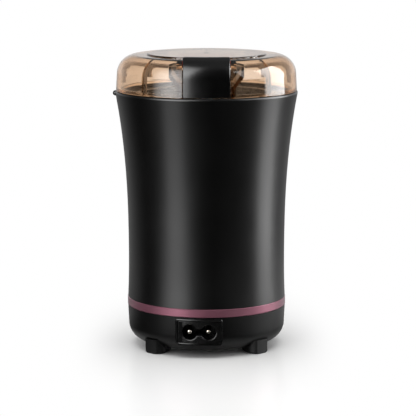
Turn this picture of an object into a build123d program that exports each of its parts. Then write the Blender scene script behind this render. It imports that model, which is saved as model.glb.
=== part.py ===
from build123d import *

import os
from math import cos, radians, sin, sqrt

# Electric spice grinder: a waisted casing on four rubber feet, a steel bowl with a spinning
# blade, and a see-through lid whose push button closes the motor's switch.
# Frame: millimetres, +Z up, origin on the floor under the motor's axis. The front, with the
# button above and the mains inlet below, faces -Y.

# ---------------------------------------------------------------- driving dimensions
# Casing
foot_stand = 2.5            # floor to the underside of the base
base_height = 16.4
ring_height = 3.9
housing_height = 96.4
casing_wall = 2.2
base_draft = 0.4            # the base is this much slimmer where its rounding begins
base_rounding = 8.0
waist_room = 3.64           # bowl's carrier out to the waist
waist_inset = 0.46          # base's upper edge in to the waist
waist_rise = 17.0           # housing's lower edge to its slimmest place
skirt_flare = 0.4           # added to the waist at the housing's lower edge
flare_power = 2.5
rim_lip = 0.59              # rim outside the lid's lower edge
rim_rounding = 1.0
rim_step = 1.3              # rim down to the deck round the bowl
ledge_width = 2.45          # ledge that carries the deck
ledge_thickness = 1.5
pip_radius = 1.25           # small locating pip on the rim, at -X
pip_drop = 1.5              # rim down to the pip's centre

# Accent ring and the lap joint behind it
ring_proud = 0.1
ring_chamfer = 0.3          # makes the thin grooves above and below the ring
ring_thickness = 2.7
lap_height = 4.2            # how far the base's spigot reaches into the housing
lap_thickness = 2.0
lap_fit = 0.1
lap_gap = 0.3               # over the spigot's end

# Feet
foot_inset = 4.27           # base's upper edge in to the middle of a foot
foot_angle = 44.5           # round from +X to the rear right foot
foot_radius = 4.9
foot_lobe_radius = 3.0
foot_lobe_reach = 5.1       # lobe's centre, from the foot's centre towards the axis
foot_seat_height = 4.0      # underside of the base up to the foot's seat
foot_boss_wall = 1.5
foot_chamfer = 0.7
foot_trim = 0.6             # the foot's outer side stays this far inside the casing
foot_fit = 0.1

# Screws that hold base and housing together
case_screw_inset = 8.8      # base's upper edge in to a screw's axis
case_screw_angles = (90, 205, 335)
screw_radius = 1.45
screw_head_radius = 2.8
screw_head_height = 2.2
screw_fit = 0.1
post_radius = 4.2
boss_radius = 3.4
boss_gap = 2.7              # boss's top up to the stator
boss_cap = 2.2              # solid top over the boss's screw hole
case_screw_end_gap = 2.2    # screw's tip to the hole's end
post_shoulder = 7.3         # thickness of the post under the screw's head

# Cooling slots in the underside
vent_width = 2.0
vent_pitch = 4.2
vent_count = 7
vent_field_radius = 16.0

# Mains inlet, a two-pin figure-eight inlet of the C8 pattern
inlet_offset_x = -3.35
inlet_width = 21.4
inlet_height = 12.3
inlet_drop = 0.6            # base's upper edge down to the inlet's frame
inlet_proud = 0.3
inlet_frame_width = 0.85
inlet_face_sink = 0.35
inlet_flange_depth = 2.0
inlet_gap = 0.15
inlet_lower_corner = 1.8
inlet_upper_corner = 0.5
inlet_inner_corner = 0.4
inlet_body_margin = 1.4     # flange's edge in to the body behind it
inlet_body_length = 16.0
pin_spacing = 8.6
pin_radius = 1.2
pin_length = 11.0
pin_tail = 5.0              # thinner tag behind the cavity's floor
pin_tail_radius = 0.9
cavity_depth = 13.4
cavity_radius = 3.45
cavity_neck = 2.9
cavity_rounding = 0.8
cavity_bevel = 0.45

# Bowl, its carrier and seals
bowl_radius = 30.0          # inside
bowl_depth = 33.5
bowl_wall = 0.6
bowl_rounding = 6.0
bowl_flange_width = 3.0
bowl_hole_radius = 6.5
bowl_fit = 0.3
carrier_wall = 1.8
carrier_floor = 2.5
carrier_eye_radius = 9.5    # hole in the carrier's floor, round the shaft
deck_thickness = 2.0
deck_fit = 0.1
gasket_thickness = 1.0
gasket_width = 4.0
seal_flange_radius = 9.0
seal_flange_thickness = 1.0
seal_rise = 1.4             # seal above the bowl's floor
shaft_gap = 0.3             # round the turning shaft, where nothing bears on it

# Lid
lid_height = 16.5           # rim up to the flat round the raised middle
lid_draft = 0.4             # the lid is this much slimmer where its shoulder begins
lid_shoulder = 9.0
lid_wall = 2.0
lid_seat_gap = 0.12
lid_spigot_thickness = 1.2
lid_spigot_fit = 0.25
lid_spigot_gap = 0.3        # spigot's end above the deck
plateau_radius = 27.6       # the raised middle of the lid's top
plateau_rise = 0.55
plateau_rounding = 0.2
rib_depth = 2.1
rib_thickness = 1.3
rib_rounding = 0.35
rib_inner_radius = 26.5
rib_hang = 13.1             # lid's top down to the lower end of a short rib
short_rib_angles = (0, 45, 90, 135, 180)
long_rib_angles = (-45, -135)

# Push button in the lid
button_width = 21.2
button_depth = 7.95         # at its middle, front to back
button_clear = 0.6          # carrier's cup to the button's back
button_inset = 0.6          # lid's lower edge in to the button's front
button_gap = 0.3            # on every side, and over the rim at rest
button_proud = 1.45         # its flat top above the flat of the lid
button_shoulder = 9.5       # radius that turns its face into its top
button_crown = 0.45         # the turned face is cut off this far below its summit
button_rounding = 0.6
button_travel = 2.0
button_wall = 1.6
button_cap = 5.8            # solid top over the button's hollow
wing_width = 30.0
wing_drop = 4.0             # lid's top down to the wing's lower corner
wing_chamfer_height = 5.5
pocket_wall = 1.2
lip_width = 2.1             # the lid's wall is thicker beside the button
lip_depth = 1.4

# Switch, its push rod and spring
rod_width = 6.0
rod_thickness = 1.2
rod_head_depth = 3.5
rod_head_height = 7.0
rod_gap = 0.7               # rod to the carrier's wall
rod_foot_thickness = 2.8
rod_foot_width = 13.0
rod_foot_offset = 2.5       # foot's centre to +X of the rod
rod_foot_depth = 6.3
rod_drop = 1.8              # carrier's underside down to the rod's foot
switch_width = 12.8
switch_depth = 5.8
switch_inset = 3.7          # rod's back in to the middle of the switch
switch_height = 6.5
switch_edge = 0.25
switch_offset_x = -3.6
switch_plunger_radius = 1.1
switch_plunger_offset = 2.6  # plunger's centre to +X of the switch's centre
switch_plunger_sink = 1.0   # plunger's lower end inside the switch, at rest
shelf_thickness = 1.5
shelf_width = 20.0
shelf_drop = 15.8           # carrier's underside down to the shelf's top
spring_radius = 1.9
spring_wire = 0.25          # wire's radius
spring_turns = 6
spring_offset_x = 6.6
spring_gap = 0.05

# Motor
shaft_radius = 2.5
shaft_tail = 1.0            # shaft below the lower bearing
shaft_fit = 0.02            # pieces pressed on the shaft
bearing_clearance = 0.04
bearing_radius = 5.0
motor_room = 7.34           # stator out to the waist
stator_flat_cut = 5.0       # stator's radius in to its flats
stator_stack = 20.0
yoke_thickness = 4.5
coil_room = 5.9             # yoke in to the pole's shoe
pole_shoe_thickness = 3.4
air_gap = 0.5
pole_shoe_half_angle = 62
pole_half_width = 8.5
coil_width = 5.2
coil_overhang = 4.6
coil_gap = 0.3              # to the pole's shoe and the yoke
slot_count = 12
slot_width = 2.6
slot_mouth = 1.4
slot_depth = 4.6
slot_lip = 1.5              # iron between a slot and the air gap
winding_gap = 0.2
winding_overhang = 4.0
winding_core = 2.0          # insulation between shaft and end turns
commutator_radius = 8.8
commutator_length = 9.0
commutator_cut = 0.5
bracket_thickness = 3.5
bracket_width = 12.0
bracket_leg_thickness = 4.0
bracket_hub_radius = 8.5
lower_bracket_drop = 17.5   # stator down to the lower bracket's bar
upper_bracket_rise = 12.5   # stator up to the upper bracket's bar
bolt_radius = 1.3
bolt_head_radius = 2.3
bolt_head_height = 2.0
bolt_reach = 5.0            # bolt's tip above the stator
bolt_end_gap = 1.0
brush_size = 5.0
brush_length = 8.0
brush_gap = 0.3
brush_tube_wall = 0.8
brush_tube_length = 11.0
grommet_radius = 4.0
grommet_height = 2.3
motor_screw_inset = 6.25    # stator bolt's axis in to the motor screw's
fan_radius = 20.0
fan_height = 3.6
fan_plate = 1.2
fan_hub_radius = 5.5
fan_blade_start = 7.5       # blades' inner and outer ends, from the motor's axis
fan_blade_end = 19.0
fan_blade_thickness = 1.0
fan_blade_count = 9
fan_gap = 1.6               # over the coils

# Blade
blade_rise = 2.4            # seal's top up to the blade
blade_thickness = 1.4
blade_gap = 4.0             # blade's tips to the bowl's wall
blade_bend_radius = 11.7    # where the arms begin to rise
blade_root_width = 11.0
blade_tip_width = 7.5
blade_tip_lift = 4.5
blade_tip_pitch = 28
nut_radius = 4.2
nut_height = 3.2
nut_dome = 2.4
nut_dome_radius = 3.35
spacer_radius = 5.5

# ---------------------------------------------------------------- levels and radii that follow
base_floor_z = foot_stand
base_top_z = base_floor_z + base_height
housing_foot_z = base_top_z + ring_height
rim_z = housing_foot_z + housing_height
waist_z = housing_foot_z + waist_rise
deck_z = rim_z - rim_step
ledge_z = deck_z - deck_thickness
lap_top_z = housing_foot_z + lap_height
boss_foot_z = lap_top_z + lap_gap
foot_seat_z = base_floor_z + foot_seat_height

bowl_flange_radius = bowl_radius + bowl_flange_width
gasket_radius = bowl_radius - bowl_rounding
bowl_floor_z = deck_z - bowl_depth
carrier_bore = bowl_radius + bowl_wall + bowl_fit
carrier_radius = carrier_bore + carrier_wall
carrier_floor_z = bowl_floor_z - bowl_wall - gasket_thickness
carrier_under_z = carrier_floor_z - carrier_floor
seal_top_z = bowl_floor_z + seal_rise

waist_radius = carrier_radius + waist_room
base_radius = waist_radius + waist_inset            # at the base's upper edge
ring_radius = base_radius + ring_proud
spigot_radius = ring_radius - ring_thickness - lap_fit
foot_circle = base_radius - foot_inset
case_screw_circle = base_radius - case_screw_inset

button_back_y = -(carrier_radius + button_clear)
button_front_radius = carrier_radius + button_clear + button_depth
button_foot_z = rim_z + button_gap
button_top_z = rim_z + lid_height + button_proud
well_floor_z = button_foot_z - button_travel - button_gap

lid_foot_z = rim_z + lid_seat_gap
lid_top_z = rim_z + lid_height
lid_radius = button_front_radius + button_inset     # at its lower edge
rim_bore = lid_radius - lid_wall
rim_radius = lid_radius + rim_lip
ledge_radius = rim_bore - ledge_width
shoulder_radius = lid_radius - lid_draft
shoulder_z = lid_top_z - lid_shoulder
wing_corner_z = lid_top_z - wing_drop
wing_foot_z = wing_corner_z - wing_chamfer_height

rod_back_y = -(carrier_radius + rod_gap)
switch_y = rod_back_y + switch_inset
shelf_z = carrier_under_z - shelf_drop

inlet_top_z = base_top_z - inlet_drop
inlet_centre_z = inlet_top_z - inlet_height / 2
inlet_face_radius = base_radius + inlet_proud
inlet_floor_y = -inlet_face_radius + cavity_depth

stator_radius = waist_radius - motor_room
stator_flat = stator_radius - stator_flat_cut       # half the width across the flats
yoke_radius = stator_radius - yoke_thickness
shoe_radius = yoke_radius - coil_room
bore_radius = shoe_radius - pole_shoe_thickness
armature_radius = bore_radius - air_gap
slot_top_radius = armature_radius - slot_lip
slot_bottom_radius = slot_top_radius - slot_depth
bolt_circle = stator_radius - yoke_thickness / 2
motor_screw_offset = bolt_circle - motor_screw_inset
upper_bar_top_z = carrier_under_z - grommet_height  # the motor hangs under the carrier
upper_bar_z = upper_bar_top_z - bracket_thickness
stator_top_z = upper_bar_z - upper_bracket_rise
stator_bottom_z = stator_top_z - stator_stack
lower_bar_z = stator_bottom_z - lower_bracket_drop
boss_top_z = stator_bottom_z - boss_gap
fan_z = stator_top_z + coil_overhang + fan_gap
blade_z = seal_top_z + blade_rise
blade_tip_radius = bowl_radius - blade_gap

UP = (Align.CENTER, Align.CENTER, Align.MIN)
CLEAR = 60.0                # longer than any wall that a cut has to pass
SAME = 0.01                 # two lengths this close are one


# ---------------------------------------------------------------- helpers
def ring(inner_radius, outer_radius, low_z, high_z):
    """A ring about the motor's axis."""
    height = high_z - low_z
    solid = Pos(0, 0, low_z) * Cylinder(outer_radius, height, align=UP)
    return solid - Pos(0, 0, low_z) * Cylinder(inner_radius, height, align=UP)


def disc(radius, low_z, high_z, x=0.0, y=0.0):
    """An upright cylinder between two heights."""
    return Pos(x, y, low_z) * Cylinder(radius, high_z - low_z, align=UP)


def block(x_range, y_range, z_range):
    """A rectangular block between two values on each axis."""
    ranges = (x_range, y_range, z_range)
    middle = [(low + high) / 2 for low, high in ranges]
    size = [high - low for low, high in ranges]
    return Pos(*middle) * Box(*size)


def turned(*curves):
    """The solid that a closed radius and height outline sweeps about the motor's axis."""
    edges = [edge for curve in curves for edge in curve.edges()]
    return revolve(Plane.XZ * make_face(edges), Axis.Z)


def front_prism(outline, near_y, far_y):
    """A front-view outline of x and height, drawn out from near_y back to far_y."""
    face = make_face(Polyline(*outline, close=True).edges())
    return extrude(Plane.XZ.offset(-near_y) * face, -(far_y - near_y))


def at_angle(angle, radius):
    """The x and y of a place on a circle about the motor's axis."""
    return radius * cos(radians(angle)), radius * sin(radians(angle))


def spokes(solid, count):
    """Evenly spaced copies of a solid about the motor's axis."""
    return [Rot(0, 0, 360 / count * i) * solid for i in range(count)]


# ---------------------------------------------------------------- casing
def casing_radius(z):
    """The housing's outer radius: slimmest at the waist, flaring up to the rim."""
    if z < waist_z:
        return waist_radius + skirt_flare * ((waist_z - z) / waist_rise) ** 2
    rise = (z - waist_z) / (rim_z - waist_z)
    return waist_radius + (rim_radius - waist_radius) * rise ** flare_power


def casing_side(low_z, high_z, inset):
    """The housing's side as one smooth curve, moved in by an inset."""
    heights = [low_z + (high_z - low_z) * share / 7 for share in range(8)]
    return Spline([(casing_radius(z) - inset, z) for z in heights])


def make_upper_housing():
    """The waisted shell, with the deck's ledge, screw bosses, switch shelf and button well."""
    foot_r = casing_radius(housing_foot_z)
    shell = turned(
        casing_side(housing_foot_z, rim_z, 0),
        Polyline((rim_radius, rim_z), (0, rim_z), (0, housing_foot_z), (foot_r, housing_foot_z)),
    )
    shell = fillet(shell.edges().group_by(Axis.Z)[-1], rim_rounding)

    ledge_lip_z = ledge_z - ledge_thickness
    under_z = ledge_lip_z - (casing_radius(ledge_lip_z) - casing_wall - ledge_radius)
    under_r = casing_radius(under_z) - casing_wall
    shell -= turned(
        casing_side(housing_foot_z, under_z, casing_wall),
        Polyline(
            (under_r, under_z),
            (ledge_radius, ledge_lip_z),
            (ledge_radius, ledge_z),
            (rim_bore, ledge_z),
            (rim_bore, rim_z),
            (0, rim_z),
            (0, housing_foot_z),
            (foot_r - casing_wall, housing_foot_z),
        ),
    )

    inside = turned(
        casing_side(housing_foot_z, rim_z, casing_wall / 2),
        Polyline(
            (rim_radius - casing_wall / 2, rim_z),
            (0, rim_z),
            (0, housing_foot_z),
            (foot_r - casing_wall / 2, housing_foot_z),
        ),
    )
    for angle in case_screw_angles:
        x, y = at_angle(angle, case_screw_circle)
        boss = disc(boss_radius, boss_foot_z, boss_top_z, x, y)
        web = block(
            (case_screw_circle, foot_r), (-casing_wall / 2, casing_wall / 2), (boss_foot_z, boss_top_z)
        )
        boss += Rot(0, 0, angle) * web
        boss -= disc(screw_radius + screw_fit, boss_foot_z, boss_top_z - boss_cap, x, y)
        shell += boss & inside

    shelf = block(
        (-shelf_width / 2, shelf_width / 2),
        (-CLEAR, switch_y + switch_depth / 2),
        (shelf_z - shelf_thickness, shelf_z),
    )
    shell += shelf & inside

    pip_z = rim_z - pip_drop
    shell += Pos(-casing_radius(pip_z), 0, pip_z) * Sphere(pip_radius)
    return shell - button_well()


def button_well():
    """The room in rim and deck that the button's lower end sinks into."""
    half = button_width / 2 + button_gap
    room = block((-half, half), (-CLEAR, button_back_y + button_gap), (well_floor_z, lid_top_z))
    return room & disc(button_front_radius + button_gap, well_floor_z, lid_top_z)


def make_accent_ring():
    """The metal band between base and housing."""
    band = ring(ring_radius - ring_thickness, ring_radius, base_top_z, housing_foot_z)
    edges = band.edges().filter_by(GeomType.CIRCLE).filter_by(lambda e: e.radius > ring_radius - ring_chamfer)
    return chamfer(edges, ring_chamfer)


def base_form(inset):
    """The base's outside, or its inside when inset by the wall, as a solid."""
    side_r = base_radius - base_draft - inset
    floor_z = base_floor_z + inset
    turn = base_rounding - inset
    middle = turn * (1 - sqrt(0.5))
    return turned(
        Polyline((0, floor_z), (side_r - turn, floor_z)),
        ThreePointArc(
            (side_r - turn, floor_z), (side_r - middle, floor_z + middle), (side_r, floor_z + turn)
        ),
        Polyline((side_r, floor_z + turn), (base_radius - inset, base_top_z), (0, base_top_z), (0, floor_z)),
    )


def foot_outline(sign_x, sign_y, margin):
    """A round pad with a smaller lobe that points to the motor's axis, seen from above."""
    x = sign_x * foot_circle * cos(radians(foot_angle))
    y = sign_y * foot_circle * sin(radians(foot_angle))
    inward = 1 - foot_lobe_reach / foot_circle
    pad = Pos(x, y) * Circle(foot_radius + margin)
    lobe = Pos(x * inward, y * inward) * Circle(foot_lobe_radius + margin)
    return make_hull(pad.edges() + lobe.edges())


def foot_places():
    """Name and side of each foot."""
    return {
        "foot_front_left": (-1, -1),
        "foot_front_right": (1, -1),
        "foot_rear_left": (-1, 1),
        "foot_rear_right": (1, 1),
    }


def make_foot(sign_x, sign_y):
    """One rubber foot, from the floor up to its seat in the base."""
    pad = extrude(foot_outline(sign_x, sign_y, 0), foot_seat_z)
    pad = chamfer(pad.faces().sort_by(Axis.Z)[0].edges(), foot_chamfer)
    return pad & disc(base_radius - foot_trim, 0, foot_seat_z)


def make_base_housing():
    """The base moulding: shell, lap spigot, screw posts, foot seats, vents and inlet opening."""
    outside = base_form(0)
    shell = outside - base_form(casing_wall)
    lap_inner = spigot_radius - lap_thickness
    shell += ring(lap_inner, base_radius - casing_wall / 2, base_top_z - lap_height, base_top_z)
    shell += ring(lap_inner, spigot_radius, base_top_z, lap_top_z)

    post_foot_z = boss_foot_z - post_shoulder
    for angle in case_screw_angles:
        x, y = at_angle(angle, case_screw_circle)
        shell += disc(post_radius, base_floor_z + casing_wall / 2, boss_foot_z, x, y)
    for sign_x, sign_y in foot_places().values():
        boss = extrude(foot_outline(sign_x, sign_y, foot_boss_wall), foot_seat_z + foot_boss_wall)
        shell += boss & outside

    for angle in case_screw_angles:
        x, y = at_angle(angle, case_screw_circle)
        shell -= disc(screw_head_radius + screw_fit, 0, post_foot_z, x, y)
        shell -= disc(screw_radius + screw_fit, 0, lap_top_z + CLEAR, x, y)
    for sign_x, sign_y in foot_places().values():
        shell -= extrude(foot_outline(sign_x, sign_y, foot_fit), foot_seat_z)
    for i in range(vent_count):
        y = (i - (vent_count - 1) / 2) * vent_pitch
        half = sqrt(vent_field_radius ** 2 - y ** 2) - vent_width / 2
        slot = SlotOverall(2 * half + vent_width, vent_width)
        shell -= extrude(Pos(0, y, 0) * slot, base_floor_z + 2 * casing_wall)
    return shell - inlet_opening() + inlet_cradle()


def make_case_screws():
    """Three screws that clamp the base to the housing's bosses."""
    head_z = boss_foot_z - post_shoulder
    screws = []
    for angle in case_screw_angles:
        x, y = at_angle(angle, case_screw_circle)
        head = disc(screw_head_radius, head_z - screw_head_height, head_z, x, y)
        drive = disc(screw_radius, head_z - screw_head_height, head_z - screw_head_height / 2, x, y)
        tip_z = boss_top_z - boss_cap - case_screw_end_gap
        screws.append(head - drive + disc(screw_radius, head_z, tip_z, x, y))
    return screws


# ---------------------------------------------------------------- mains inlet
def inlet_plate(margin, lower_corner, upper_corner, near_radius, far_radius):
    """The inlet's rounded rectangle, bent to the casing's curve between two radii."""
    half = inlet_width / 2 + margin
    low_z = inlet_top_z - inlet_height - margin
    high_z = inlet_top_z + margin
    plate = block((inlet_offset_x - half, inlet_offset_x + half), (-CLEAR, 0), (low_z, high_z))
    corners = plate.edges().filter_by(Axis.Y)
    plate = fillet(corners.group_by(Axis.Z)[0], lower_corner)
    corners = plate.edges().filter_by(Axis.Y)
    plate = fillet(corners.group_by(Axis.Z)[-1], upper_corner)
    return plate & ring(near_radius, far_radius, low_z, high_z)


def inlet_body(margin):
    """The moulded body behind the inlet's flange."""
    half_x = inlet_width / 2 - inlet_body_margin + margin
    half_z = inlet_height / 2 - inlet_body_margin + margin
    back_y = -inlet_face_radius + inlet_flange_depth + inlet_body_length
    return block(
        (inlet_offset_x - half_x, inlet_offset_x + half_x),
        (-inlet_face_radius + inlet_flange_depth, back_y + margin),
        (inlet_centre_z - half_z, inlet_centre_z + half_z),
    )


def inlet_opening():
    """What the base leaves free for the inlet."""
    flange_r = inlet_face_radius - inlet_flange_depth - inlet_gap
    lower_corner = inlet_lower_corner + inlet_gap
    upper_corner = inlet_upper_corner + inlet_gap
    return inlet_plate(inlet_gap, lower_corner, upper_corner, flange_r, CLEAR) + inlet_body(inlet_gap)


def inlet_cradle():
    """Two ribs on the base's floor that the inlet's body sits on."""
    low_z = base_floor_z + casing_wall / 2
    high_z = inlet_centre_z - inlet_height / 2 + inlet_body_margin
    back_y = -inlet_face_radius + inlet_flange_depth + inlet_body_length
    rib = block((-casing_wall, casing_wall), (back_y - 2 * casing_wall, back_y), (low_z, high_z))
    reach = inlet_width / 4
    return Pos(inlet_offset_x - reach, 0, 0) * rib + Pos(inlet_offset_x + reach, 0, 0) * rib


def pin_x(side):
    """Where a pin stands, side -1 or 1."""
    return inlet_offset_x + side * pin_spacing / 2


def make_inlet_socket():
    """The inlet's moulding: framed curved flange, figure-eight cavity and body."""
    shape = Pos(-pin_spacing / 2, 0) * Circle(cavity_radius) + Pos(pin_spacing / 2, 0) * Circle(cavity_radius)
    shape += Rectangle(pin_spacing, cavity_neck)
    neck = shape.vertices().filter_by(lambda v: abs(v.X) < pin_spacing / 2 - cavity_rounding)
    shape = fillet(neck, cavity_rounding)
    plane = Plane(origin=(inlet_offset_x, inlet_floor_y, inlet_centre_z), x_dir=(1, 0, 0), z_dir=(0, -1, 0))
    cavity = extrude(plane * shape, CLEAR)

    inner_r = inlet_face_radius - inlet_flange_depth
    sunk_r = inlet_face_radius - inlet_face_sink
    plate = inlet_plate(0, inlet_lower_corner, inlet_upper_corner, inner_r, inlet_face_radius)
    plate -= inlet_plate(-inlet_frame_width, inlet_inner_corner, inlet_inner_corner, sunk_r, CLEAR)
    plate -= cavity
    curved = plate.faces().filter_by(GeomType.CYLINDER)
    sunk = curved.filter_by(lambda face: abs(face.radius - sunk_r) < SAME).sort_by(SortBy.AREA)[-1]
    plate = fillet(sunk.inner_wires()[0].edges(), cavity_bevel)

    socket = plate + (inlet_body(0) - cavity)
    for side in (-1, 1):
        socket -= along_y(pin_tail_radius + shaft_fit, inlet_floor_y, CLEAR, pin_x(side), inlet_centre_z)
    return socket


def along_y(radius, near_y, far_y, x, z):
    """A cylinder that lies front to back."""
    plane = Plane(origin=(x, near_y, z), x_dir=(1, 0, 0), z_dir=(0, 1, 0))
    return extrude(plane * Circle(radius), far_y - near_y)


def make_inlet_pin(side):
    """One round contact pin that seats on the cavity's floor, with its tag behind."""
    tip_y = inlet_floor_y - pin_length
    pin = along_y(pin_radius, tip_y, inlet_floor_y, pin_x(side), inlet_centre_z)
    pin = chamfer(pin.edges().sort_by(Axis.Y)[0], pin_radius / 3)
    tail_y = inlet_floor_y + pin_tail
    return pin + along_y(pin_tail_radius, inlet_floor_y, tail_y, pin_x(side), inlet_centre_z)


# ---------------------------------------------------------------- bowl and carrier
def make_bowl_carrier():
    """The deck round the bowl, with the cup below it that hangs the motor under the bowl."""
    deck_r = rim_bore - deck_fit
    seat_z = deck_z - bowl_wall
    carrier = turned(
        Polyline(
            (bowl_flange_radius + deck_fit, deck_z),
            (deck_r, deck_z),
            (deck_r, ledge_z),
            (carrier_radius, ledge_z),
            (carrier_radius, carrier_under_z),
            (carrier_eye_radius, carrier_under_z),
            (carrier_eye_radius, carrier_floor_z),
            (carrier_bore, carrier_floor_z),
            (carrier_bore, seat_z),
            (bowl_flange_radius + deck_fit, seat_z),
            close=True,
        )
    )
    half = rod_width / 2 + button_gap
    slot_near_y = -(carrier_radius + rod_gap + rod_head_depth + button_gap)
    carrier -= block((-half, half), (slot_near_y, -carrier_radius), (ledge_z, deck_z))
    for side in (-1, 1):
        x = side * motor_screw_offset
        carrier -= disc(screw_radius + screw_fit, carrier_under_z, carrier_floor_z, x)
    return carrier - button_well()


def make_grinding_bowl():
    """A drawn steel cup with a flat flange and a hole for the shaft's seal."""
    low_z = bowl_floor_z - bowl_wall
    outer_r = bowl_radius + bowl_wall
    cup = ring(bowl_hole_radius, outer_r, low_z, deck_z)
    bottom = cup.edges().filter_by(GeomType.CIRCLE).filter_by(lambda e: e.radius > bowl_radius)
    cup = fillet(bottom.sort_by(Axis.Z)[0], bowl_rounding)
    inside = disc(bowl_radius, bowl_floor_z, deck_z)
    inside = fillet(inside.edges().sort_by(Axis.Z)[0], bowl_rounding - bowl_wall)
    cup += ring(bowl_radius, bowl_flange_radius, deck_z - bowl_wall, deck_z)
    return cup - inside


def make_bowl_gasket():
    """A flat ring that seats the bowl on its carrier."""
    inner_radius = gasket_radius - gasket_width
    return ring(inner_radius, gasket_radius, carrier_floor_z, carrier_floor_z + gasket_thickness)


def make_shaft_seal():
    """The lipped rubber seal in the bowl's hole."""
    bore = shaft_radius + shaft_gap
    under_z = bowl_floor_z - bowl_wall
    neck_r = bowl_hole_radius - deck_fit
    return turned(
        Polyline(
            (bore, under_z - seal_flange_thickness),
            (seal_flange_radius, under_z - seal_flange_thickness),
            (seal_flange_radius, under_z),
            (neck_r, under_z),
            (neck_r, bowl_floor_z),
            (seal_flange_radius, bowl_floor_z),
            (neck_r, seal_top_z),
            (bore, seal_top_z),
            close=True,
        )
    )


# ---------------------------------------------------------------- lid and button
def lid_form(inset, foot_z):
    """The lid's outside, or its inside when inset by the wall, as a solid above a height."""
    foot_r = lid_radius - inset
    side_r = shoulder_radius - inset
    turn = lid_shoulder - inset
    centre_r = side_r - turn
    half = turn * sqrt(0.5)
    top_z = shoulder_z + turn
    return turned(
        Polyline((0, foot_z), (foot_r, foot_z), (side_r, shoulder_z)),
        ThreePointArc((side_r, shoulder_z), (centre_r + half, shoulder_z + half), (centre_r, top_z)),
        Polyline((centre_r, top_z), (0, top_z), (0, foot_z)),
    )


def lid_rib(angle, foot_z):
    """A moulded rib that runs up the lid's wall and in under its top, with its free edges rounded."""
    room = lid_form(lid_wall + rib_depth, lid_foot_z)
    band = lid_form(lid_wall / 2, lid_foot_z) - room
    plate = block((rib_inner_radius, CLEAR), (-rib_thickness / 2, rib_thickness / 2), (foot_z, lid_top_z))
    rib = band & plate
    free = []
    for edge in rib.edges():
        middle = edge @ 0.5
        if abs(middle.Y) > SAME and room.distance_to(middle) < SAME:
            free.append(edge)
    return Rot(0, 0, angle) * fillet(free, rib_rounding)


def pocket_outline(margin, sink):
    """The button seen from the front, grown by a margin and let down by a sink."""
    half = button_width / 2 + margin
    wing = wing_width / 2 + margin
    corner_z = wing_corner_z - sink - margin
    waist_level = wing_foot_z - sink - margin
    low_z = deck_z
    high_z = lid_top_z + lid_wall
    return [
        (-half, low_z),
        (half, low_z),
        (half, waist_level),
        (wing, corner_z),
        (wing, high_z),
        (-wing, high_z),
        (-wing, corner_z),
        (-half, waist_level),
    ]


def make_lid_shell():
    """The see-through lid: domed shell, raised middle, spigot, ribs and the button's pocket."""
    plateau = disc(plateau_radius, lid_top_z - lid_wall / 2, lid_top_z + plateau_rise)
    plateau = fillet(plateau.faces().sort_by(Axis.Z)[-1].edges(), plateau_rounding)
    shell = lid_form(0, lid_foot_z) + plateau - lid_form(lid_wall, lid_foot_z)
    shell -= disc(plateau_radius - lid_wall, lid_foot_z, lid_top_z + plateau_rise - lid_wall)
    spigot_r = rim_bore - lid_spigot_fit
    spigot_low_z = deck_z + lid_spigot_gap
    shell += ring(spigot_r - lid_spigot_thickness, spigot_r, spigot_low_z, lid_foot_z + lid_spigot_thickness)
    flange_r = lid_radius - lid_wall / 2
    shell += ring(spigot_r - lid_spigot_thickness, flange_r, lid_foot_z, lid_foot_z + lid_wall / 2)
    for angle in short_rib_angles:
        shell += lid_rib(angle, lid_top_z - rib_hang)
    for angle in long_rib_angles:
        shell += lid_rib(angle, lid_foot_z)

    room = lid_form(lid_wall / 2, lid_foot_z) + disc(spigot_r, spigot_low_z, lid_foot_z)
    pocket_back_y = button_back_y + button_gap
    pocket = front_prism(
        pocket_outline(button_gap + pocket_wall, button_travel), -CLEAR, pocket_back_y + pocket_wall
    )
    low_cut = block((-CLEAR, CLEAR), (-CLEAR, CLEAR), (0, spigot_low_z))
    shell += (pocket & room) - low_cut
    hollow = front_prism(pocket_outline(button_gap, button_travel), -CLEAR, pocket_back_y)
    shell -= hollow & lid_form(lid_wall, 0)
    half = button_width / 2 + button_gap
    edge = half + lip_width
    lips = lid_form(lid_wall / 2, lid_foot_z) - lid_form(lid_wall + lip_depth, lid_foot_z)
    shell += lips & block((-edge, edge), (-CLEAR, 0), (lid_foot_z, lid_top_z))
    shell -= block((-half, half), (-CLEAR, pocket_back_y), (0, lid_top_z + CLEAR))
    return shell


def button_form():
    """The button's face as a solid of revolution: upright, then turned inward like the lid."""
    edge_r = button_front_radius
    centre_r = edge_r - button_shoulder
    summit_z = button_top_z + button_crown
    centre_z = summit_z - button_shoulder
    half = button_shoulder * sqrt(0.5)
    return turned(
        Polyline((0, button_foot_z), (edge_r, button_foot_z), (edge_r, centre_z)),
        ThreePointArc((edge_r, centre_z), (centre_r + half, centre_z + half), (centre_r, summit_z)),
        Polyline((centre_r, summit_z), (0, summit_z), (0, button_foot_z)),
    )


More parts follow.
